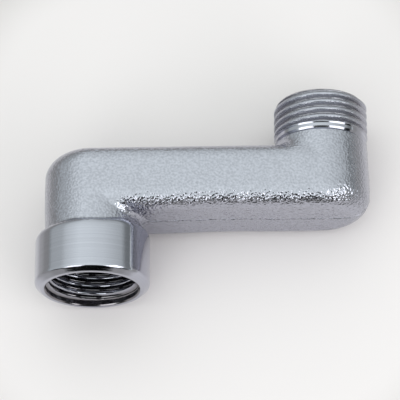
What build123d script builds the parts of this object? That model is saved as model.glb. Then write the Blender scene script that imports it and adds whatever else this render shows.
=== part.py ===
"""Eccentric fitting: a cast and turned brass offset union, with a threaded socket and a threaded spigot.

The part lies on its back, as it comes to rest. The socket axis is the Y axis, with the socket rim at the origin.
"""

from math import asin, cos, radians, sin, tan

from build123d import *

# Overall layout
axis_offset = 51.0
fitting_height = 43.4

# Pipe thread G 1/2, drawn as rings at the true pitch and form
thread_major_radius = 10.4775
thread_pitch = 1.814
thread_depth = 1.162
thread_flank_angle = 27.5
thread_cut_overrun = 0.2

# Turned socket collar
collar_radius = 12.7
collar_height = 11.6
rim_rounding = 1.8
shoulder_height = 2.4
shoulder_rounding = 2.0
mouth_radius = 10.6
socket_depth = 11.0
socket_thread_start = 1.9

# Cast arm and columns
socket_column_radius = 10.8
spigot_column_radius = 10.3
arm_bottom = 16.4
arm_height = 14.2
elbow_radius = 8.0
elbow_overhang = 0.9
long_edge_rounding = 3.6

# Turned and threaded spigot
spigot_length = 10.0
spigot_chamfer = 1.1
spigot_thread_start = 2.17
relief_depth = 1.25
relief_floor = 0.2

# Waterway
riser_bore_radius = 7.0
spigot_bore_radius = 7.3
passage_width = 13.6
wall = 3.0
bore_end_rounding = 1.5

# Levels and radii worked out from the driving dimensions
thread_minor_radius = thread_major_radius - thread_depth
arm_top = arm_bottom + arm_height
arm_middle = arm_bottom + arm_height / 2
spigot_base = fitting_height - spigot_length
passage_height = arm_height - 2 * wall

# A groove's half widths, and the number of grooves that each thread has room for
root_half = thread_pitch / 12
mouth_half = root_half + thread_depth * tan(radians(thread_flank_angle))
spigot_thread_run = spigot_length - relief_floor - relief_depth - spigot_thread_start - mouth_half
spigot_grooves = 1 + int(spigot_thread_run / thread_pitch)
socket_grooves = 1 + int((socket_depth - socket_thread_start - mouth_half) / thread_pitch)

# The collar and the thread crests both touch the floor, so the casting leans by this angle about Y
lean = asin((collar_radius - thread_major_radius) / axis_offset)
along_arm = Vector(cos(lean), 0, -sin(lean))
out_of_front = Vector(sin(lean), 0, cos(lean))

# The casting plane holds both axes: its x runs along the arm and its y from the socket to the spigot
casting_plane = Plane(origin=(0, 0, 0), x_dir=along_arm, z_dir=out_of_front)
socket_axis = Axis((0, 0, 0), (0, 1, 0))
spigot_axis = Axis(casting_plane.from_local_coords((axis_offset, 0, 0)), (0, 1, 0))


def plan_plane(level):
    """The plane across both axes at this distance from the socket rim."""
    return Plane(origin=(0, level, 0), x_dir=along_arm, z_dir=(0, 1, 0))


def thread_groove(outward):
    """One groove of the thread at the sketch's location, which is the middle of its root, open outward or inward."""
    reach = thread_depth + thread_cut_overrun
    open_half = mouth_half + thread_cut_overrun * tan(radians(thread_flank_angle))
    side = reach if outward else -reach
    points = [(0, -root_half), (side, -open_half), (side, open_half), (0, root_half)]
    Polygon(*points, align=None)


# The hollow inside: a riser from the socket, a flat passage along the arm and the spigot bore
with BuildPart() as waterway:
    with BuildSketch(plan_plane(socket_depth)):
        Circle(riser_bore_radius)
    extrude(amount=arm_top - wall - socket_depth)
    fillet(waterway.edges().filter_by(GeomType.CIRCLE).sort_by(Axis.Y)[-1], bore_end_rounding)
    with BuildSketch(plan_plane(arm_bottom + wall)):
        with Locations((axis_offset, 0)):
            Circle(spigot_bore_radius)
    extrude(amount=fitting_height - arm_bottom - wall)
    fillet(
        waterway.edges(Select.LAST).filter_by(GeomType.CIRCLE).sort_by(Axis.Y)[0],
        bore_end_rounding,
    )
    with BuildSketch(Plane(origin=(0, arm_middle, 0), x_dir=out_of_front, z_dir=along_arm)):
        SlotOverall(passage_width, passage_height)
    extrude(amount=axis_offset)


with BuildPart() as fitting_body:
    # Arm: a bar with round ends about both axes, its outer elbows rounded off
    with BuildSketch(plan_plane(arm_bottom)):
        Circle(socket_column_radius)
        with Locations((axis_offset, 0)):
            Circle(spigot_column_radius)
        make_hull()
    extrude(amount=arm_height)
    with BuildSketch(casting_plane):
        with BuildLine():
            left = -socket_column_radius - elbow_overhang
            right = axis_offset + spigot_column_radius + elbow_overhang
            Polyline(
                (left, arm_bottom), (left, arm_top), (right, arm_top), (right, arm_bottom), close=True
            )
        make_face()
        corners = vertices().sort_by(Axis((0, 0, 0), along_arm - Vector(0, 1, 0)))
        fillet([corners[0], corners[-1]], elbow_radius)
    extrude(amount=2 * socket_column_radius, both=True, mode=Mode.INTERSECT)
    rounded = (
        fitting_body.edges()
        .filter_by(Axis.Y, reverse=True)
        .filter_by(Axis((0, 0, 0), out_of_front), reverse=True)
    )
    fillet(rounded, long_edge_rounding)

    # Columns: the socket end comes down from the arm and the spigot end goes up from it
    with BuildSketch(plan_plane(collar_height / 2)):
        Circle(socket_column_radius)
    extrude(amount=arm_middle - collar_height / 2)
    with BuildSketch(plan_plane(arm_middle)):
        with Locations((axis_offset, 0)):
            Circle(spigot_column_radius)
    extrude(amount=spigot_base - arm_middle)

    # Collar, turned, with its rim rounded and a sloping shoulder up to the column
    with BuildSketch(plan_plane(0)):
        Circle(collar_radius)
    extrude(amount=collar_height)
    with Locations(plan_plane(collar_height)):
        Cone(
            collar_radius,
            socket_column_radius,
            shoulder_height,
            align=(Align.CENTER, Align.CENTER, Align.MIN),
        )
    shoulder = fitting_body.edges().filter_by(GeomType.CIRCLE).sort_by(SortBy.RADIUS)[-2:].sort_by(Axis.Y)[-1]
    fillet(shoulder, shoulder_rounding)
    rim = fitting_body.edges().filter_by(GeomType.CIRCLE).group_by(Axis.Y)[0]
    fillet(rim, rim_rounding)

    # Spigot, turned, with a relief below its thread
    with BuildSketch(plan_plane(spigot_base)):
        with Locations((axis_offset, 0)):
            Circle(thread_major_radius)
    extrude(amount=spigot_length)
    end_edge = fitting_body.edges().filter_by(GeomType.CIRCLE).group_by(Axis.Y)[-1]
    chamfer(end_edge, spigot_chamfer)
    with BuildSketch(casting_plane):
        with BuildLine():
            relief_x = axis_offset + thread_major_radius
            overrun_x = relief_x + thread_cut_overrun
            Polyline(
                (relief_x - relief_depth, spigot_base),
                (overrun_x, spigot_base),
                (overrun_x, spigot_base + relief_floor + relief_depth + thread_cut_overrun),
                (relief_x - relief_depth, spigot_base + relief_floor),
                close=True,
            )
        make_face()
    revolve(axis=spigot_axis, mode=Mode.SUBTRACT)

    # Waterway, socket bore and its countersunk mouth
    add(waterway.part, mode=Mode.SUBTRACT)
    with BuildSketch(plan_plane(0)):
        Circle(thread_minor_radius)
    extrude(amount=socket_depth, mode=Mode.SUBTRACT)
    mouth = fitting_body.edges().filter_by(GeomType.CIRCLE).group_by(Axis.Y)[0].sort_by(SortBy.RADIUS)[0]
    chamfer(mouth, mouth_radius - thread_minor_radius)

    # Threads
    with BuildSketch(casting_plane):
        for turn in range(spigot_grooves):
            level = fitting_height - spigot_thread_start - turn * thread_pitch
            with Locations((axis_offset + thread_minor_radius, level)):
                thread_groove(outward=True)
    revolve(axis=spigot_axis, mode=Mode.SUBTRACT)
    with BuildSketch(casting_plane):
        for turn in range(socket_grooves):
            level = socket_thread_start + turn * thread_pitch
            with Locations((thread_major_radius, level)):
                thread_groove(outward=False)
    revolve(axis=socket_axis, mode=Mode.SUBTRACT)

fitting_body.part.label = "fitting_body"
export_step(fitting_body.part, "parts/fitting_body.step")
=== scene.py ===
"""Looks of the eccentric fitting: a chrome-plated brass union with a cast arm and two threaded ends."""

from math import asin, cos, hypot, pi, radians, sin

import bmesh
import bpy
import numpy as np
from mathutils import Matrix, Vector, noise


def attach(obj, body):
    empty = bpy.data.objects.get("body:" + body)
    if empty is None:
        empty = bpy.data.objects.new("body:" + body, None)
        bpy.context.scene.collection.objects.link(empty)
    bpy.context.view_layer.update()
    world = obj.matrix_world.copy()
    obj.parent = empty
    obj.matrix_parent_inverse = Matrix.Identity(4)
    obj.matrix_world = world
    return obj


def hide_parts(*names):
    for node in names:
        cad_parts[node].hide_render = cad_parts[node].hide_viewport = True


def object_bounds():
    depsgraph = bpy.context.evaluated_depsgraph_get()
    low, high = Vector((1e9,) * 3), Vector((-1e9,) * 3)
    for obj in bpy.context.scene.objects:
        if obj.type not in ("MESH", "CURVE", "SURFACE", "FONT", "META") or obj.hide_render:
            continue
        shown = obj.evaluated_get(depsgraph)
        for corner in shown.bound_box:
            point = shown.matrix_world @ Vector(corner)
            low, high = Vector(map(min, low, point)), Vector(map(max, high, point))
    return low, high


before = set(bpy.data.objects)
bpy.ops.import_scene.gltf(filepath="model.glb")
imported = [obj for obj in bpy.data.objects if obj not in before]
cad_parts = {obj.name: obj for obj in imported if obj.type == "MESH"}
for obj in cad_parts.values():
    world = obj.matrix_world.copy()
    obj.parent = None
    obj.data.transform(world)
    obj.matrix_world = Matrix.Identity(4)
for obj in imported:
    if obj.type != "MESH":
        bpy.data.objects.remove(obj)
cad_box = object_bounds()


# Cast skin
# The arm and its two columns are one sand casting in brass, plated over the grain that the sand leaves.
# It is drawn in the plane of the two axes, in millimetres, as rings of points that follow the waterway.
MM = 0.001
POINTS_AROUND = 180
axis_offset = 51.0
collar_radius = 12.7
spigot_crest_radius = 10.4775
lean = asin((collar_radius - spigot_crest_radius) / axis_offset)
arm_bottom = 16.25
arm_top = 30.85
arm_middle = (arm_bottom + arm_top) / 2
socket_end_radius = 10.8
socket_column_radius = 10.68
spigot_end_radius = 10.52
spigot_column_radius = 10.3
skin_start = 14.0
skin_end = 33.2
long_edge_rounding = 4.2
elbow_extra_rounding = 0.8
under_sag = 0.25
spigot_sag_share = 0.8
spigot_fillet = 2.1
socket_fillet = 1.5
# Each of these changes of form begins at its first place and is complete at its second
draw_in_levels = (24, skin_end)
flare_levels = (skin_start, 20)
socket_sag_run = (30, 13)
spigot_sag_run = (32, 42)
socket_elbow_run = (0, 10)
spigot_elbow_run = (0, 9.5)
socket_fillet_run = (0.5, 8)
spigot_fillet_run = (0.5, 6)


def ease(low, high, value):
    """Rises smoothly from 0 at low to 1 at high."""
    share = np.clip((value - low) / (high - low), 0, 1)
    return share * share * (3 - 2 * share)


def rounded_meeting(first, second, radius):
    """Where two surfaces meet at an outer corner, rounded off by this radius."""
    over = np.hypot(np.maximum(first + radius, 0), np.maximum(second + radius, 0))
    return np.minimum(-radius, np.maximum(first, second)) + over


def rounded_union(first, second, radius):
    """Where two surfaces meet at an inner corner, filled by this radius."""
    under = np.hypot(np.maximum(radius - first, 0), np.maximum(radius - second, 0))
    return np.maximum(radius, np.minimum(first, second)) - under


def skin_distance(x, y, z):
    """How far a point lies outside the casting: x runs along the arm, y up it and z out of its front."""
    # The arm's plan is a bar with round ends, which draws in a little towards the spigot
    near = socket_end_radius
    far = spigot_end_radius - (spigot_end_radius - spigot_column_radius) * ease(*draw_in_levels, y)
    slope = (near - far) / axis_offset
    along = np.clip((x + np.abs(z) * slope) / axis_offset, 0, 1)
    plan = np.hypot(x - along * axis_offset, z) - (near + along * (far - near))
    # The underside sags towards both ends, and the outer elbows are rounder than the long edges
    sag = under_sag * (ease(*socket_sag_run, x) + spigot_sag_share * ease(*spigot_sag_run, x))
    slab = np.maximum(arm_bottom - sag - y, y - arm_top)
    top_edge = long_edge_rounding + elbow_extra_rounding * ease(*socket_elbow_run, -x)
    under_edge = long_edge_rounding + elbow_extra_rounding * ease(*spigot_elbow_run, x - axis_offset)
    arm = rounded_meeting(plan, slab, np.where(y > arm_middle, top_edge, under_edge))
    # The columns are faired into the arm on their inner sides only
    flare = (socket_end_radius - socket_column_radius) * ease(*flare_levels, y)
    socket_column = np.maximum(np.hypot(x, z) - (socket_column_radius + flare), y - arm_middle)
    spigot_column = np.maximum(np.hypot(x - axis_offset, z) - far, arm_middle - y)
    body = rounded_union(arm, socket_column, socket_fillet * ease(*socket_fillet_run, x))
    return rounded_union(body, spigot_column, spigot_fillet * ease(*spigot_fillet_run, axis_offset - x))


def ring_planes(arm_rings, elbow_rings, column_rings):
    """Each ring's start, facing and side: round the socket's corner, along the arm, round the spigot's."""
    planes = []
    corner_x = socket_column_radius + arm_bottom - under_sag - skin_start
    for turn in np.linspace(0, pi / 2, elbow_rings):
        planes.append(((corner_x, skin_start), (-cos(turn), sin(turn)), -1))
    far_x = axis_offset - spigot_column_radius - spigot_fillet
    far_y = arm_top + spigot_fillet
    for x in np.linspace(corner_x, far_x, arm_rings + 1)[1:]:
        planes.append(((x, far_y), (0, -1), 1))
    for turn in np.linspace(0, pi / 2, elbow_rings)[1:]:
        planes.append(((far_x, far_y), (sin(turn), -cos(turn)), 1))
    for y in np.linspace(far_y, skin_end, column_rings + 1)[1:]:
        planes.append(((far_x, y), (1, 0), 1))
    return planes


# A ring is searched for on rays from the middle of its plane, and its points are then spaced evenly
search_reach = 40
search_steps = 400
search_rays = 4 * POINTS_AROUND
search_spread = 1.7
search_halvings = 36


def ring_points(distance, plane, half_width):
    """One ring of evenly spaced points, where a plane across the waterway cuts the surface of distance."""
    (start_x, start_y), (step_x, step_y), side = plane
    reach = np.linspace(0, search_reach, search_steps)
    inside = reach[distance(start_x + reach * step_x, start_y + reach * step_y, 0 * reach) < 0]
    middle = (inside[0] + inside[-1]) / 2
    half_depth = (inside[-1] - inside[0]) / 2
    angles = np.linspace(0, 2 * pi, search_rays + 1)
    run = side * half_depth * np.cos(angles)
    rise = half_width * np.sin(angles)
    low = np.zeros_like(angles)
    high = np.full_like(angles, search_spread)
    for _ in range(search_halvings):
        share = (low + high) / 2
        depth = middle + share * run
        out = distance(start_x + depth * step_x, start_y + depth * step_y, share * rise) > 0
        high = np.where(out, share, high)
        low = np.where(out, low, share)
    depth = middle + low * run
    ring = np.stack([start_x + depth * step_x, start_y + depth * step_y, low * rise], 1)
    walked = np.concatenate([[0], np.cumsum(np.linalg.norm(np.diff(ring, axis=0), axis=1))])
    stops = np.linspace(0, walked[-1], POINTS_AROUND, endpoint=False)
    return np.stack([np.interp(stops, walked, ring[:, axis]) for axis in range(3)], 1)


def turned_circle(x, y, radius):
    """A ring of evenly spaced points about the socket's or the spigot's axis."""
    angles = np.linspace(0, 2 * pi, POINTS_AROUND, endpoint=False)
    return np.stack([x + radius * np.cos(angles), y + 0 * angles, radius * np.sin(angles)], 1)


def grid_mesh(name, rings, material):
    """A mesh of quads between the rings, which close on themselves."""
    rows, around, _ = rings.shape
    starts = np.arange(rows - 1)[:, None] * around
    this = np.arange(around)[None, :]
    after = (this + 1) % around
    quads = np.stack([starts + this, starts + after, starts + around + after, starts + around + this], 2)
    mesh = bpy.data.meshes.new(name)
    mesh.from_pydata((rings.reshape(-1, 3) * MM).tolist(), [], quads.reshape(-1, 4).tolist())
    mesh.materials.append(material)
    return mesh


skin_planes = ring_planes(arm_rings=66, elbow_rings=82, column_rings=2)
skin_rings = [ring_points(skin_distance, plane, socket_end_radius) for plane in skin_planes]
skin_rings[0] = turned_circle(0, skin_start, socket_column_radius)
skin_rings[-1] = turned_circle(axis_offset, skin_end, spigot_column_radius)
skin_rings = np.array(skin_rings)

# The sand leaves a low waviness and a coarse grain, and the two halves of the mould a trimmed seam
wave_size = 7.0
wave_height = 0.04
grain_size = 1.3
grain_height = 0.015
grain_fade = 0.9
grain_ratio = 2.0
grain_layers = 2
seam_height = 0.10
seam_half_width = 0.4
seam_break = 1.7
seam_gaps = (-0.3, 0.5)
across_rings = np.gradient(skin_rings, axis=0)
around_rings = np.roll(skin_rings, -1, axis=1) - np.roll(skin_rings, 1, axis=1)
normals = np.cross(around_rings, across_rings)
normals /= np.linalg.norm(normals, axis=2, keepdims=True)
outward = skin_rings - skin_rings.mean(axis=1, keepdims=True)
normals *= np.sign((normals * outward).sum(axis=2, keepdims=True))
relief = np.zeros(skin_rings.shape[:2])
for row, ring in enumerate(skin_rings):
    for column, point in enumerate(ring):
        spot = Vector(point)
        wave = noise.noise(spot / wave_size)
        grain = noise.fractal(spot / grain_size, grain_fade, grain_ratio, grain_layers)
        standing = ease(*seam_gaps, noise.noise(spot / seam_break))
        seam = np.exp(-((point[2] / seam_half_width) ** 2)) * standing
        relief[row, column] = wave_height * wave + grain_height * grain + seam_height * seam

# The relief dies away towards the turned ends, over this many rings
socket_smooth_rings = 8
spigot_smooth_rings = 6
from_socket = np.arange(len(skin_rings))
from_spigot = len(skin_rings) - 1 - from_socket
settled = ease(0, socket_smooth_rings, from_socket) * ease(0, spigot_smooth_rings, from_spigot)
skin_rings = skin_rings + normals * (relief * settled[:, None])[..., None]


def add_node(tree, kind, *inputs, **settings):
    """Adds a node, sets or links its inputs in order, and returns its first output."""
    node = tree.nodes.new(kind)
    for name, value in settings.items():
        setattr(node, name, value)
    for socket, value in zip(node.inputs, inputs):
        if isinstance(value, bpy.types.NodeSocket):
            tree.links.new(value, socket)
        elif value is not None:
            socket.default_value = value
    return node.outputs[0]


def add_math(tree, operation, *inputs):
    """A math node's result."""
    return add_node(tree, "ShaderNodeMath", *inputs, operation=operation)


def split_axes(tree, vector):
    """A vector's shares along the three axes, by name."""
    split = tree.nodes.new("ShaderNodeSeparateXYZ")
    tree.links.new(vector, split.inputs[0])
    return split.outputs


def noise_pattern(tree, place, scale, detail):
    """A noise that varies with the place, its scale in cells to the metre."""
    pattern = tree.nodes.new("ShaderNodeTexNoise")
    pattern.inputs["Scale"].default_value = scale
    pattern.inputs["Detail"].default_value = detail
    tree.links.new(place, pattern.inputs["Vector"])
    return pattern.outputs["Fac"]


def colour_ramp(tree, factor, stops, interpolation="LINEAR"):
    """The colour that a factor picks from stops, each a position and a colour."""
    ramp = tree.nodes.new("ShaderNodeValToRGB")
    ramp.color_ramp.interpolation = interpolation
    halfway = 0.5
    while len(ramp.color_ramp.elements) < len(stops):
        ramp.color_ramp.elements.new(halfway)
    for element, (position, colour) in zip(ramp.color_ramp.elements, stops):
        element.position = position
        element.color = (*colour, 1)
    tree.links.new(factor, ramp.inputs["Fac"])
    return ramp.outputs["Color"]


def bumps(tree, height, depth, under=None):
    """The surface's normal with bumps of this depth in metres, laid over other bumps if there are any."""
    bump = tree.nodes.new("ShaderNodeBump")
    bump.inputs["Distance"].default_value = depth
    tree.links.new(height, bump.inputs["Height"])
    if under is not None:
        tree.links.new(under, bump.inputs["Normal"])
    return bump.outputs["Normal"]


def new_finish(name, metallic):
    """A new material, with its node tree, its shader and the place on the piece."""
    finish = bpy.data.materials.new(name)
    finish.use_nodes = True
    tree = finish.node_tree
    shader = tree.nodes["Principled BSDF"]
    shader.inputs["Metallic"].default_value = metallic
    return finish, tree, shader, tree.nodes.new("ShaderNodeTexCoord").outputs["Object"]


# The plating follows the sand's fine grain, and is paler and smoother on its crowns
sand_scale = 2100
sand_detail = 0.4
sand_low = 0.3
sand_high = 0.7
hollow_tone = (0.40, 0.406, 0.461)
crown_tone = (0.485, 0.492, 0.560)
hollow_roughness = 0.22
crown_roughness = 0.14
cast_skin, shade, metal, place = new_finish("cast_skin_chrome", metallic=1.0)
sand = noise_pattern(shade, place, sand_scale, sand_detail)
tone = colour_ramp(shade, sand, [(sand_low, hollow_tone), (sand_high, crown_tone)])
gloss = add_node(
    shade, "ShaderNodeMapRange", sand, sand_low, sand_high, hollow_roughness, crown_roughness
)
shade.links.new(gloss, metal.inputs["Roughness"])
upright = add_node(shade, "ShaderNodeMapping", place, None, (0, -lean, 0))
apart = split_axes(shade, upright)

# The faces are rubbed down before plating, and the arm's lower edge keeps the rough skin of the mould
rubbed_level = 21.5 * MM
rough_level = 18.8 * MM
rough_from = 5 * MM
rough_past = 10 * MM
lump_scale = 1400
lump_detail = 0.3
lump_share = 1.2
noise_middle = 0.5
grit_depth = 0.11 * MM
low = add_node(shade, "ShaderNodeMapRange", apart["Y"], rubbed_level, rough_level, 0.0, 1.0)
past_column = add_node(shade, "ShaderNodeMapRange", apart["X"], rough_from, rough_past, 0.0, 1.0)
raw = add_math(shade, "MULTIPLY", low, past_column)
lumps = noise_pattern(shade, place, lump_scale, lump_detail)
fine_height = add_math(shade, "SUBTRACT", sand, noise_middle)
lump_height = add_math(shade, "SUBTRACT", lumps, noise_middle)
coarse_height = add_math(shade, "MULTIPLY_ADD", lump_height, lump_share, fine_height)
raw_height = add_math(shade, "MULTIPLY", coarse_height, raw)
grit = bumps(shade, add_math(shade, "ADD", fine_height, raw_height), grit_depth)

# Broken crumbs of flash stand along the seam, in the plane of the two axes, and their colour is darkened as
# painted shade
flash_half_width = 0.35 * MM
flash_height = 0.5 * MM
crumb_scale = 1500
crumb_detail = 1
crumb_start = 0.44
crumb_full = 0.56
crumb_shade_share = 0.7
off_seam = add_math(shade, "ABSOLUTE", apart["Z"])
ridge = add_node(shade, "ShaderNodeMapRange", off_seam, 0.0, flash_half_width, 1.0, 0.0)
crumbs = noise_pattern(shade, place, crumb_scale, crumb_detail)
broken = add_node(shade, "ShaderNodeMapRange", crumbs, crumb_start, crumb_full, 0.0, 1.0)
flash_share = add_math(shade, "MULTIPLY", add_math(shade, "MULTIPLY", ridge, broken), raw)
# Painted shade: the colour is darkened where the crumbs stand
crumb_shading = add_math(shade, "MULTIPLY_ADD", flash_share, -crumb_shade_share, 1.0)
cast_tone = add_node(shade, "ShaderNodeVectorMath", tone, crumb_shading, operation="MULTIPLY")
shade.links.new(cast_tone, metal.inputs["Base Color"])
shade.links.new(bumps(shade, flash_share, flash_height, grit), metal.inputs["Normal"])
skin_mesh = grid_mesh("cast_skin", skin_rings, cast_skin)


# Waterway
# The hollow inside is left by a sand core: a riser from the socket, a flat passage and the spigot's bore.
# It is plated thinly, so it is duller and darker than the outside.
riser_radius = 7.0
riser_start = 11.0
bore_radius = 7.3
passage_half_width = 6.8
passage_bottom = 19.4
passage_top = 27.6
core_rounding = 1.5


def core_distance(x, y, z):
    """How far a point lies outside the hollow, in millimetres."""
    riser = rounded_meeting(np.hypot(x, z) - riser_radius, y - passage_top, core_rounding)
    bore = rounded_meeting(np.hypot(x - axis_offset, z) - bore_radius, passage_bottom - y, core_rounding)
    half_height = (passage_top - passage_bottom) / 2
    flat = np.maximum(np.abs(z) - passage_half_width + half_height, 0)
    passage = np.hypot(flat, y - (passage_bottom + passage_top) / 2) - half_height
    passage = np.maximum(passage, np.maximum(-x, x - axis_offset))
    return np.minimum(passage, np.minimum(riser, bore))


core_planes = ring_planes(arm_rings=6, elbow_rings=16, column_rings=1)
core_rings = [ring_points(core_distance, plane, riser_radius) for plane in core_planes]
core_rings[0] = turned_circle(0, skin_start, riser_radius)
core_rings.insert(0, turned_circle(0, riser_start, riser_radius))
core_rings[-1] = turned_circle(axis_offset, skin_end, bore_radius)
core_rings = np.array(core_rings)

crust_scale = 900
crust_detail = 4
crust_depth = 0.3 * MM
bare_tone = (0.30, 0.29, 0.27)
plated_tone = (0.42, 0.42, 0.42)
core_roughness = 0.45
core_plating, shade, metal, place = new_finish("core_plating", metallic=1.0)
crust = noise_pattern(shade, place, crust_scale, crust_detail)
tone = colour_ramp(shade, crust, [(0.0, bare_tone), (1.0, plated_tone)])
shade.links.new(tone, metal.inputs["Base Color"])
metal.inputs["Roughness"].default_value = core_roughness
shade.links.new(bumps(shade, crust, crust_depth), metal.inputs["Normal"])
core_mesh = grid_mesh("core", core_rings, core_plating)


# Turned socket
# The collar is turned bright on the lathe, with a rounded rim, a short entry bore and a G 1/2 thread.
# A turning tool follows the profile, and the thread tool then cuts its groove on a helix.
CAST = 0
TURNED = 1
THREADED = 2
thread_pitch = 1.814
thread_depth = 0.98
root_share = 1 / 6
crest_share = 0.73
thread_softness = 0.34
cut_softness = 0.08
least_cut = 0.001
row_step = 0.128


def straight(start, end, step, cut=0.0, finish=TURNED):
    """Points on a straight run of the tool, without its end: radius, level, depth of cut and finish."""
    across = end[0] - start[0]
    up = end[1] - start[1]
    count = max(1, round(hypot(across, up) / step))
    shares = np.linspace(0, 1, count, endpoint=False)
    return [(start[0] + share * across, start[1] + share * up, cut, finish) for share in shares]


def sweep(centre, radius, first_turn, last_turn, count, finish=TURNED):
    """Points on a rounded corner, without its end, with turns in degrees from outwards to upwards."""
    turns = np.radians(np.linspace(first_turn, last_turn, count, endpoint=False))
    return [(centre[0] + radius * cos(turn), centre[1] + radius * sin(turn), 0.0, finish) for turn in turns]


def fade_cut(rows, shallow_level, full_level):
    """Thread rows whose cut deepens from almost nothing at one level to all of it at another."""
    faded = []
    for radius, level, _, finish in rows:
        cut = least_cut + (1 - least_cut) * ease(shallow_level, full_level, level)
        faded.append((radius, level, float(cut), finish))
    return faded


def turned_end_tree():
    """Turns a profile of points about an axis, and cuts a right-hand thread where it has a cut."""
    tree = bpy.data.node_groups.new("turned_end", "GeometryNodeTree")
    tree.interface.new_socket("Profile", in_out="INPUT", socket_type="NodeSocketGeometry")
    for name in ("Axis", "Pitch", "Thread depth", "Crest radius", "Crest level", "Cut side"):
        tree.interface.new_socket(name, in_out="INPUT", socket_type="NodeSocketFloat")
    tree.interface.new_socket("Points around", in_out="INPUT", socket_type="NodeSocketInt")
    for name in ("Cast", "Turned", "Threaded"):
        tree.interface.new_socket(name, in_out="INPUT", socket_type="NodeSocketMaterial")
    tree.interface.new_socket("Turned end", in_out="OUTPUT", socket_type="NodeSocketGeometry")
    given = tree.nodes.new("NodeGroupInput").outputs
    profile = given["Profile"]

    def named_value(name, kind):
        """A value that is stored on the points under this name."""
        return add_node(tree, "GeometryNodeInputNamedAttribute", name, data_type=kind)

    def of_profile(value, index, kind):
        """The profile's own value at the point with this number."""
        return add_node(
            tree, "GeometryNodeSampleIndex", profile, value, index, data_type=kind, domain="POINT"
        )

    # A grid with a row for each profile point, which the next steps wrap around the axis
    half_grid = 0.5
    rows = add_node(tree, "GeometryNodeAttributeDomainSize", profile, component="MESH")
    columns = add_math(tree, "ADD", given["Points around"], 1.0)
    grid = add_node(tree, "GeometryNodeMeshGrid", 1.0, 1.0, columns, rows)
    spot = split_axes(tree, add_node(tree, "GeometryNodeInputPosition"))
    angle = add_math(tree, "MULTIPLY", add_math(tree, "ADD", spot["X"], half_grid), 2 * pi)
    last_row = add_math(tree, "SUBTRACT", rows, 1.0)
    up_grid = add_math(tree, "ADD", spot["Y"], half_grid)
    row = add_math(tree, "ROUND", add_math(tree, "MULTIPLY", up_grid, last_row))
    kept = add_node(
        tree, "GeometryNodeStoreNamedAttribute", grid, None, "row", row, data_type="FLOAT", domain="POINT"
    )
    position = add_node(tree, "GeometryNodeInputPosition")
    turned = split_axes(tree, of_profile(position, row, "FLOAT_VECTOR"))
    radius = turned["X"]
    level = turned["Y"]
    cut = of_profile(named_value("cut", "FLOAT"), row, "FLOAT")

    # The helix: a wave along the axis that drops by one pitch for each turn, with rounded crests and roots
    lead = add_math(tree, "MULTIPLY", angle, add_math(tree, "DIVIDE", given["Pitch"], 2 * pi))
    height = add_math(tree, "SUBTRACT", add_math(tree, "ADD", level, lead), given["Crest level"])
    phase = add_math(tree, "FRACT", add_math(tree, "DIVIDE", height, given["Pitch"]))
    wave = add_math(tree, "ABSOLUTE", add_math(tree, "MULTIPLY_ADD", phase, 2.0, -1.0))
    above_root = add_math(tree, "SUBTRACT", wave, root_share)
    flank = add_math(tree, "DIVIDE", above_root, crest_share - root_share)
    crest = add_math(tree, "SMOOTH_MIN", flank, 1.0, thread_softness)
    form = add_math(tree, "SMOOTH_MAX", crest, 0.0, thread_softness)
    bite = add_math(tree, "MULTIPLY", add_math(tree, "SUBTRACT", 1.0, form), given["Thread depth"])
    bite = add_math(tree, "MULTIPLY", add_math(tree, "MULTIPLY", bite, cut), given["Cut side"])
    groove = add_math(tree, "SUBTRACT", given["Crest radius"], bite)
    blank = add_math(tree, "MULTIPLY", radius, given["Cut side"])
    tool = add_math(tree, "MULTIPLY", groove, given["Cut side"])
    left = add_math(tree, "SMOOTH_MIN", blank, tool, cut_softness * MM)
    left = add_math(tree, "MULTIPLY", left, given["Cut side"])

    # Rows that the thread tool doesn't reach keep the radius of the profile
    no_cut = least_cut / 10
    uncut = add_math(tree, "COMPARE", cut, 0.0, no_cut)
    plain = add_math(tree, "MULTIPLY", uncut, radius)
    threaded = add_math(tree, "MULTIPLY", add_math(tree, "SUBTRACT", 1.0, uncut), left)
    final = add_math(tree, "ADD", plain, threaded)
    side_x = add_math(tree, "MULTIPLY_ADD", final, add_math(tree, "COSINE", angle), given["Axis"])
    side_z = add_math(tree, "MULTIPLY", final, add_math(tree, "SINE", angle))
    wrapped = add_node(tree, "ShaderNodeCombineXYZ", side_x, level, side_z)
    shell = add_node(tree, "GeometryNodeSetPosition", kept, None, wrapped)
    closing_gap = 0.001 * MM
    shell = add_node(tree, "GeometryNodeMergeByDistance", shell, None, closing_gap)

    # Each row of faces takes the finish of the profile point that it starts from
    first_row = add_math(tree, "FLOOR", named_value("row", "FLOAT"))
    finish = of_profile(named_value("finish", "INT"), first_row, "INT")
    half_step = 0.5
    shell = add_node(tree, "GeometryNodeRealizeInstances", shell)
    for number, name in ((CAST, "Cast"), (TURNED, "Turned"), (THREADED, "Threaded")):
        chosen = add_math(tree, "COMPARE", finish, float(number), half_step)
        shell = add_node(tree, "GeometryNodeSetMaterial", shell, chosen, given[name])
    out = tree.nodes.new("NodeGroupOutput")
    tree.links.new(shell, out.inputs["Turned end"])
    return tree


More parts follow.
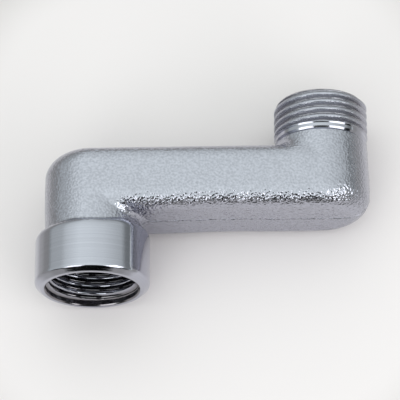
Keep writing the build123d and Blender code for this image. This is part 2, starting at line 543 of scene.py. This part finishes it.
def turned_end(name, profile, sizes):
    """The plain mesh of one turned end, from its profile in millimetres and the tree's named inputs."""
    points = bpy.data.meshes.new(name + "_profile")
    points.from_pydata([(radius * MM, level * MM, 0) for radius, level, _, _ in profile], [], [])
    cuts = [cut for _, _, cut, _ in profile]
    points.attributes.new("cut", "FLOAT", "POINT").data.foreach_set("value", cuts)
    finishes = [finish for _, _, _, finish in profile]
    points.attributes.new("finish", "INT", "POINT").data.foreach_set("value", finishes)
    blank = bpy.data.objects.new(name + "_blank", points)
    bpy.context.scene.collection.objects.link(blank)
    lathe = blank.modifiers.new("lathe", "NODES")
    lathe.node_group = end_tree
    for item in end_tree.interface.items_tree:
        if item.in_out == "INPUT" and item.name in sizes:
            lathe[item.identifier] = sizes[item.name]
    state = bpy.context.evaluated_depsgraph_get()
    mesh = bpy.data.meshes.new_from_object(blank.evaluated_get(state), depsgraph=state)
    mesh.name = name
    bpy.data.objects.remove(blank)
    return mesh


# The lathe's chrome: the tool's rings make it a little paler and rougher, and fine pits dull it
ring_scale = 4200
ring_detail = 3
ring_low = 0.35
ring_high = 0.65
ring_hollow_tone = (0.44, 0.447, 0.506)
ring_crown_tone = (0.475, 0.482, 0.547)
smoothest = 0.7
roughest = 1.3
pit_scale = 2600
pit_detail = 2
unshaded_tone = (1, 1, 1)


def turned_metal(name, axis_x, rough, line_depth, pit_depth, thread=None):
    """Bright turned chrome with the tool's rings about an axis, with painted shade that darkens a thread's
    roots.
    """
    finish, tree, metal, place = new_finish(name, metallic=1.0)
    to_axis = (-axis_x * cos(lean) * MM, 0, axis_x * sin(lean) * MM)
    parts = split_axes(tree, add_node(tree, "ShaderNodeMapping", place, to_axis))
    flat = add_node(tree, "ShaderNodeCombineXYZ", parts["X"], parts["Z"], 0.0)
    length = tree.nodes.new("ShaderNodeVectorMath")
    length.operation = "LENGTH"
    tree.links.new(flat, length.inputs[0])
    away = length.outputs["Value"]
    feed = add_node(tree, "ShaderNodeCombineXYZ", parts["Y"], away, 0.0)
    rings = noise_pattern(tree, feed, ring_scale, ring_detail)
    plating = colour_ramp(tree, rings, [(ring_low, ring_hollow_tone), (ring_high, ring_crown_tone)])
    # Painted shade: a thread's roots get a darker colour, which fades out towards its crests
    if thread is not None:
        roots, crests, root_shade_tone = thread
        rise = add_node(tree, "ShaderNodeMapRange", away, roots * MM, crests * MM, 0.0, 1.0)
        root_shade = colour_ramp(tree, rise, [(0.0, root_shade_tone), (1.0, unshaded_tone)])
        plating = add_node(tree, "ShaderNodeVectorMath", plating, root_shade, operation="MULTIPLY")
    tree.links.new(plating, metal.inputs["Base Color"])
    gloss = add_node(tree, "ShaderNodeMapRange", rings, 0.0, 1.0, rough * smoothest, rough * roughest)
    tree.links.new(gloss, metal.inputs["Roughness"])
    lines = bumps(tree, rings, line_depth * MM)
    specks = noise_pattern(tree, place, pit_scale, pit_detail)
    tree.links.new(bumps(tree, specks, pit_depth * MM, lines), metal.inputs["Normal"])
    return finish


# Painted shade on the threads goes by the radius, darkest in the roots and none on the crests
socket_root_shade_tone = (0.50, 0.47, 0.44)
socket_darkest_shade_radius = 10.2
socket_unshaded_radius = 9.4
socket_root_shading = (socket_darkest_shade_radius, socket_unshaded_radius, socket_root_shade_tone)
collar_chrome = turned_metal("turned_collar_chrome", 0, rough=0.10, line_depth=0.008, pit_depth=0.006)
socket_thread_chrome = turned_metal(
    "socket_thread_chrome", 0, rough=0.14, line_depth=0.004, pit_depth=0.01, thread=socket_root_shading
)

# The socket's inside, from the seat down to the mouth
socket_crest_radius = 9.3155
socket_crest_level = 2.4
seat_chamfer = 0.25
thread_top = 10.7
run_out = 9.0
mouth_level = 1.9
entry_radius = 10.3
entry_depth = 1.3
entry_lip = 0.35
mouth_radius = 10.6
mouth_bevel = 0.03
rim_bevel = 0.05
seat_edge = (socket_crest_radius - seat_chamfer, riser_start)
thread_head = (socket_crest_radius, thread_top)
thread_foot = (socket_crest_radius, mouth_level)
entry_head = (entry_radius, entry_depth)
entry_foot = (entry_radius, entry_lip)
mouth_inner = (mouth_radius - mouth_bevel, mouth_bevel)
mouth_outer = (mouth_radius + rim_bevel, 0)
thread_rows = straight(thread_head, thread_foot, row_step, 1.0, THREADED)

# The collar's rim, a slope between two rounded bends
rim_turn = 52.0
rim_bend = 1.0
rim_top = 1.55
lip_bend = 0.5
rim_centre = (collar_radius - rim_bend, rim_top)
rim_slope_start = (
    rim_centre[0] + rim_bend * cos(radians(rim_turn)),
    rim_centre[1] - rim_bend * sin(radians(rim_turn)),
)
lip_start_y = lip_bend - lip_bend * sin(radians(rim_turn))
lip_start = (
    rim_slope_start[0] - (rim_slope_start[1] - lip_start_y) * np.tan(radians(rim_turn)),
    lip_start_y,
)
lip_centre = (lip_start[0] - lip_bend * cos(radians(rim_turn)), lip_bend)

# The collar's shoulder, where the tool's cut ends and the cast skin begins
collar_top = 11.5
shoulder_foot = 10.5
shoulder_rounding = 2.0
shoulder_slope = 64.0
slope_stand_off = 0.12
slope_top = 12.7
slope_blend = 0.2
turned_share = np.degrees(asin((collar_top - shoulder_foot) / shoulder_rounding))
shoulder_centre = (collar_radius - shoulder_rounding, shoulder_foot)
slope_start = (
    shoulder_centre[0] + shoulder_rounding * cos(radians(shoulder_slope)),
    shoulder_foot + shoulder_rounding * sin(radians(shoulder_slope)),
)
slope_end = (socket_column_radius + slope_stand_off, slope_top)
column_foot = (socket_column_radius, slope_top + slope_blend)
column_head = (socket_column_radius, skin_start)
socket_profile = [
    *straight((riser_radius, riser_start), seat_edge, step=0.5),
    *straight(seat_edge, thread_head, step=0.15, finish=THREADED),
    *fade_cut(thread_rows, thread_top, run_out),
    *straight(thread_foot, entry_head, row_step, 1.0, THREADED),
    *straight(entry_head, entry_foot, step=0.3, finish=THREADED),
    *straight(entry_foot, mouth_inner, row_step, finish=THREADED),
    *straight(mouth_inner, mouth_outer, step=0.05),
    *straight(mouth_outer, (lip_centre[0], 0), step=0.1),
    *sweep(lip_centre, lip_bend, -90, -rim_turn, count=5),
    *straight(lip_start, rim_slope_start, step=0.2),
    *sweep(rim_centre, rim_bend, -rim_turn, 0, count=10),
    *straight((collar_radius, rim_top), (collar_radius, shoulder_foot), step=0.6),
    *sweep(shoulder_centre, shoulder_rounding, 0, turned_share, count=4),
    *sweep(shoulder_centre, shoulder_rounding, turned_share, shoulder_slope, count=5, finish=CAST),
    *straight(slope_start, slope_end, step=0.3, finish=CAST),
    *straight(slope_end, column_foot, step=0.15, finish=CAST),
    *straight(column_foot, column_head, step=0.4, finish=CAST),
    (*column_head, 0.0, CAST),
]
end_tree = turned_end_tree()
socket_sizes = {
    "Axis": 0.0,
    "Pitch": thread_pitch * MM,
    "Thread depth": thread_depth * MM,
    "Crest radius": socket_crest_radius * MM,
    "Crest level": socket_crest_level * MM,
    "Cut side": -1.0,
    "Points around": POINTS_AROUND,
    "Cast": cast_skin,
    "Turned": collar_chrome,
    "Threaded": socket_thread_chrome,
}
socket_mesh = turned_end("turned_socket", socket_profile, socket_sizes)

# The casting is fuller below the arm, so there the tool's cut and the shoulder run further up
shoulder_lift = 0.9
lift_start = 6.0
lift_levels = [lift_start, shoulder_foot, slope_top + slope_blend, skin_start]
lift_shares = [0, 1, 1, 0]
column_margin = 0.05
outside = socket_column_radius - column_margin
arm_side = (0.2, 0.75)
for corner in socket_mesh.vertices:
    away = hypot(corner.co.x, corner.co.z)
    if away > outside * MM and corner.co.y > lift_start * MM:
        to_arm = ease(*arm_side, corner.co.x / away)
        share = np.interp(corner.co.y / MM, lift_levels, lift_shares)
        corner.co.y += float(shoulder_lift * to_arm * share) * MM


# Threaded spigot
# The spigot is turned down from the casting, with a bright relief at its foot and a male G 1/2 thread.
# Its end is faced flat and chamfered, and its bore is drilled through to the passage.
spigot_top = 43.4
end_chamfer = 1.1
bore_chamfer = 0.35
relief_floor = 33.28
relief_slope = 40.0
relief_corner = 0.05
cone_height = 0.8
land_height = 0.72
lead_in_height = 0.3
crest_bevel_width = 0.06
crest_bevel_height = 0.07
land_radius = spigot_crest_radius - lead_in_height * np.tan(radians(relief_slope))
relief_radius = land_radius - cone_height * np.tan(radians(relief_slope))
land_start = relief_floor + cone_height
land_end = land_start + land_height
relief_top = land_end + lead_in_height
lead_in_end = (spigot_crest_radius - crest_bevel_width, relief_top - crest_bevel_height)
thread_start = (spigot_crest_radius, relief_top)
thread_run_in = 35.7
first_crest = 41.9
# Painted shade in the spigot thread's roots, from the root radius out to the crest radius
spigot_root_shade_tone = (0.80, 0.775, 0.75)
spigot_darkest_shade_radius = 9.6
spigot_unshaded_radius = 10.4
spigot_root_shading = (spigot_darkest_shade_radius, spigot_unshaded_radius, spigot_root_shade_tone)
spigot_chrome = turned_metal(
    "turned_spigot_chrome", axis_offset, rough=0.09, line_depth=0.003, pit_depth=0.004
)
spigot_thread_chrome = turned_metal(
    "spigot_thread_chrome", axis_offset, rough=0.27, line_depth=0.006, pit_depth=0.13, thread=spigot_root_shading
)
relief_outer = (relief_radius + relief_corner, skin_end)
relief_inner = (relief_radius, skin_end + relief_corner)
relief_foot = (relief_radius, relief_floor)
chamfer_foot = (spigot_crest_radius, spigot_top - end_chamfer)
chamfer_end = (spigot_crest_radius - end_chamfer, spigot_top)
bore_edge = (bore_radius + bore_chamfer, spigot_top)
bore_head = (bore_radius, spigot_top - bore_chamfer)
bore_foot = (bore_radius, skin_end)
spigot_thread_rows = straight(thread_start, chamfer_foot, row_step, 1.0, THREADED)
spigot_profile = [
    *straight((spigot_column_radius, skin_end), relief_outer, step=0.25),
    *straight(relief_outer, relief_inner, step=0.05),
    *straight(relief_inner, relief_foot, step=0.08),
    *straight(relief_foot, (land_radius, land_start), step=0.15),
    *straight((land_radius, land_start), (land_radius, land_end), step=0.15),
    *straight((land_radius, land_end), lead_in_end, step=0.15),
    *straight(lead_in_end, thread_start, step=0.05),
    *fade_cut(spigot_thread_rows, relief_top, thread_run_in),
    *straight(chamfer_foot, chamfer_end, step=0.1, cut=1.0, finish=THREADED),
    *straight(chamfer_end, bore_edge, step=0.35),
    *straight(bore_edge, bore_head, step=0.15),
    *straight(bore_head, bore_foot, step=0.8),
    (*bore_foot, 0.0, TURNED),
]
spigot_sizes = {
    **socket_sizes,
    "Axis": axis_offset * MM,
    "Crest radius": spigot_crest_radius * MM,
    "Crest level": (first_crest + thread_pitch / 4) * MM,
    "Cut side": 1.0,
    "Turned": spigot_chrome,
    "Threaded": spigot_thread_chrome,
}
spigot_mesh = turned_end("threaded_spigot", spigot_profile, spigot_sizes)


# The whole fitting
# The casting, its turned ends and its hollow are one piece of metal, so their meshes are welded into one.
# It is then leaned about the socket's axis, so that it lies on its collar and its spigot.
weld_gap = 0.004 * MM
crease_angle = radians(38)
shell = bmesh.new()
fitting_mesh = bpy.data.meshes.new("plated_fitting")
for zone in (skin_mesh, core_mesh, socket_mesh, spigot_mesh):
    first_face = len(shell.faces)
    shell.from_mesh(zone)
    shell.faces.ensure_lookup_table()
    places = []
    for material in zone.materials:
        if material and material.name not in fitting_mesh.materials:
            fitting_mesh.materials.append(material)
        places.append(fitting_mesh.materials.find(material.name) if material else 0)
    for face in shell.faces[first_face:]:
        face.material_index = places[face.material_index]
    bpy.data.meshes.remove(zone)
bmesh.ops.remove_doubles(shell, verts=shell.verts, dist=weld_gap)
bmesh.ops.recalc_face_normals(shell, faces=shell.faces)
for face in shell.faces:
    face.smooth = True
for edge in shell.edges:
    edge.smooth = edge.calc_face_angle(0) < crease_angle
shell.to_mesh(fitting_mesh)
shell.free()
fitting_mesh.transform(Matrix.Rotation(lean, 4, "Y"))
fitting = bpy.data.objects.new("plated_fitting", fitting_mesh)
bpy.context.scene.collection.objects.link(fitting)
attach(fitting, "root")
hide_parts("fitting_body")


# Floor
# A matt studio floor that the fitting lies on, with a painted pool of light: pale around it and greyer
# further out.
floor_half = 4.0
floor_roughness = 0.9
floor_shine = 0.1
pool_centre = (0.0235, 0.027, 0)
pool_half = (0.045, 0.049, 1)
pool_squareness = 4.0
pool_end = 4.0
# The painted pool of light: each step's reach and the floor's colour there
light_pool_steps = [
    (1.05, (0.84, 0.786, 0.800)),
    (1.5, (0.54, 0.507, 0.502)),
    (2.6, (0.40, 0.376, 0.366)),
]
floor_level = cad_box[0].z
floor_corners = [(-1, -1), (1, -1), (1, 1), (-1, 1)]
floor_points = [(x * floor_half, y * floor_half, floor_level) for x, y in floor_corners]
floor_mesh = bpy.data.meshes.new("floor")
floor_mesh.from_pydata(floor_points, [], [(0, 1, 2, 3)])
floor = bpy.data.objects.new("floor", floor_mesh)
bpy.context.scene.collection.objects.link(floor)
floor_light_pool, shade, paint, place = new_finish("floor_light_pool", metallic=0.0)
paint.inputs["Roughness"].default_value = floor_roughness
paint.inputs["Specular IOR Level"].default_value = floor_shine
spread = add_node(
    shade, "ShaderNodeMapping", place, pool_centre, None, pool_half, vector_type="TEXTURE"
)
apart = split_axes(shade, spread)
width_share = add_math(shade, "POWER", add_math(shade, "ABSOLUTE", apart["X"]), pool_squareness)
length_share = add_math(shade, "POWER", add_math(shade, "ABSOLUTE", apart["Y"]), pool_squareness)
reach = add_math(shade, "POWER", add_math(shade, "ADD", width_share, length_share), 1 / pool_squareness)
pool_stops = [(share / pool_end, colour) for share, colour in light_pool_steps]
light_pool = colour_ramp(shade, add_math(shade, "MULTIPLY", reach, 1 / pool_end), pool_stops, "EASE")
shade.links.new(light_pool, paint.inputs["Base Color"])
floor_mesh.materials.append(floor_light_pool)


# Studio light
# A bright ceiling falls off to grey walls, dark behind the camera, and three white panels stand beside it.
# The walls go by degrees from overhead to the spigot's side, and the fade by the way along the axes.
wall_steps = [
    (-95, 0.56),
    (-87, 0.52),
    (-83, 0.69),
    (-58, 0.75),
    (-48, 0.99),
    (-20, 1.30),
    (0, 1.26),
    (28, 1.11),
    (66, 0.75),
    (76, 0.34),
    (87.7, 0.28),
    (88.3, 1.5),
    (89.8, 1.5),
    (90.4, 0.28),
]
fade_steps = [
    (-1.0, 1.06),
    (-0.3, 1.05),
    (0.2, 1.01),
    (0.45, 0.96),
    (0.7, 0.87),
    (0.85, 0.82),
    (1.0, 0.76),
]
light_tint = (0.935, 1.0, 0.97)
dark_start = 0.74
dark_full = 0.83
dark_level = 0.02
front_start = 0.35
front_full = 0.6
low_full = 0.12
low_end = 0.26
low_shade = 0.97
world = bpy.data.worlds.new("studio")
bpy.context.scene.world = world
world.use_nodes = True
sky = world.node_tree
background = sky.nodes["Background"]
way = split_axes(sky, sky.nodes.new("ShaderNodeTexCoord").outputs["Generated"])


def soft_step(value, start, end, before, after):
    """Goes smoothly from one level to another as a value goes from start to end."""
    return add_node(
        sky, "ShaderNodeMapRange", value, start, end, before, after, interpolation_type="SMOOTHSTEP"
    )


# Both ramps have straight up at their middle
full_turn = 360
ramp_middle = 0.5
sideways = add_math(sky, "ARCTAN2", way["X"], way["Z"])
sideways = add_math(sky, "MULTIPLY_ADD", sideways, 1 / radians(full_turn), ramp_middle)
wall_stops = [(ramp_middle + turn / full_turn, (level, level, level)) for turn, level in wall_steps]
walls = colour_ramp(sky, sideways, wall_stops)
lengthways = add_math(sky, "MULTIPLY_ADD", way["Y"], ramp_middle, ramp_middle)
fade_stops = [(ramp_middle + along / 2, (level, level, level)) for along, level in fade_steps]
fade = colour_ramp(sky, lengthways, fade_stops)
ceiling = add_math(sky, "MULTIPLY", walls, fade)
to_camera = add_math(sky, "MULTIPLY", way["Y"], -1.0)
dark = soft_step(to_camera, dark_start, dark_full, 1.0, dark_level)
in_front = soft_step(to_camera, front_start, front_full, 0.0, 1.0)
near_floor = soft_step(way["Z"], low_full, low_end, 1.0, 0.0)
low_front = add_math(sky, "MULTIPLY", in_front, near_floor)
shaded = add_math(sky, "SUBTRACT", 1.0, add_math(sky, "MULTIPLY", low_front, low_shade))
light = add_math(sky, "MULTIPLY", add_math(sky, "MULTIPLY", ceiling, dark), shaded)
tinted = [add_math(sky, "MULTIPLY", light, share) for share in light_tint]
sky.links.new(add_node(sky, "ShaderNodeCombineColor", *tinted), background.inputs["Color"])

# Each panel's turn from the camera's side and rise in degrees, and its width and height in metres
panels = [(-28, 24, 0.31, 0.29), (37, 24, 0.29, 0.29), (62, 31, 0.35, 0.27)]
panel_distance = 0.7
panel_glow = 2.2
subject = Vector((0.025, 0.02, 0.0))
for azimuth, elevation, width, height in panels:
    turn = radians(azimuth)
    rise = radians(elevation)
    facing = Vector((sin(turn) * cos(rise), -cos(turn) * cos(rise), sin(rise)))
    panel = bpy.data.lights.new("panel", "AREA")
    panel.shape = "RECTANGLE"
    panel.size = width
    panel.size_y = height
    panel.energy = panel_glow * pi * width * height
    lamp = bpy.data.objects.new("panel", panel)
    lamp.location = subject + facing * panel_distance
    lamp.rotation_euler = facing.to_track_quat("Z", "Y").to_euler()
    bpy.context.scene.collection.objects.link(lamp)

bpy.context.scene.view_settings.view_transform = "Standard"


# Camera
# A long lens above the fitting, a little towards the socket's mouth.
eye = bpy.data.cameras.new("camera")
eye.lens = 215.3
eye.sensor_width = 36.0
eye.clip_start = 0.01
camera = bpy.data.objects.new("camera", eye)
camera.location = (0.0611, -0.1878, 0.4878)
camera.rotation_euler = (radians(23.05), radians(4.47), radians(-0.24))
bpy.context.scene.collection.objects.link(camera)
bpy.context.scene.camera = camera
